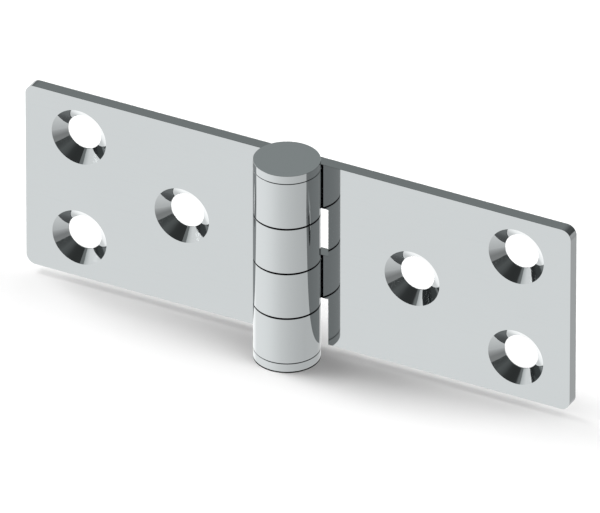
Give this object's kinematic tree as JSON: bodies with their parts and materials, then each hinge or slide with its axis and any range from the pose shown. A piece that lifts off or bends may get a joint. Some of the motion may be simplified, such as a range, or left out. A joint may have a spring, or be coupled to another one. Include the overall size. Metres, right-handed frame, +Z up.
{
  "type": "leaf hinge",
  "caption": "Flat sheet-steel leaf hinge with interleaved rolled knuckles on one side, countersunk screw holes in both leaves and a disc cap on each end of its pin.",
  "frame": {"origin": "on the pin's axis, at the underside of the bottom end cap", "axes": "+X along the right leaf, away from the pin; +Y out of the back of the leaves, the side that is screwed down; +Z up the pin"},
  "size_m": [0.1174, 0.013, 0.0437],
  "materials": {
    "polished_stainless": "mirror-polished stainless steel",
    "ground_pin_steel": "ground stainless steel rod"
  },
  "bodies": {
    "left_side": {"left_leaf": "polished_stainless", "hinge_pin": "ground_pin_steel", "bottom_end_cap": "polished_stainless"},
    "right_side": {"right_leaf": "polished_stainless", "top_end_cap": "polished_stainless"}
  },
  "joints": [
    {"name": "leaf_pivot", "type": "hinge", "parent": "left_side", "child": "right_side", "pos_m": [0, 0, 0.02185], "axis": [0, 0, -1], "range_deg": [-90, 180]}
  ]
}
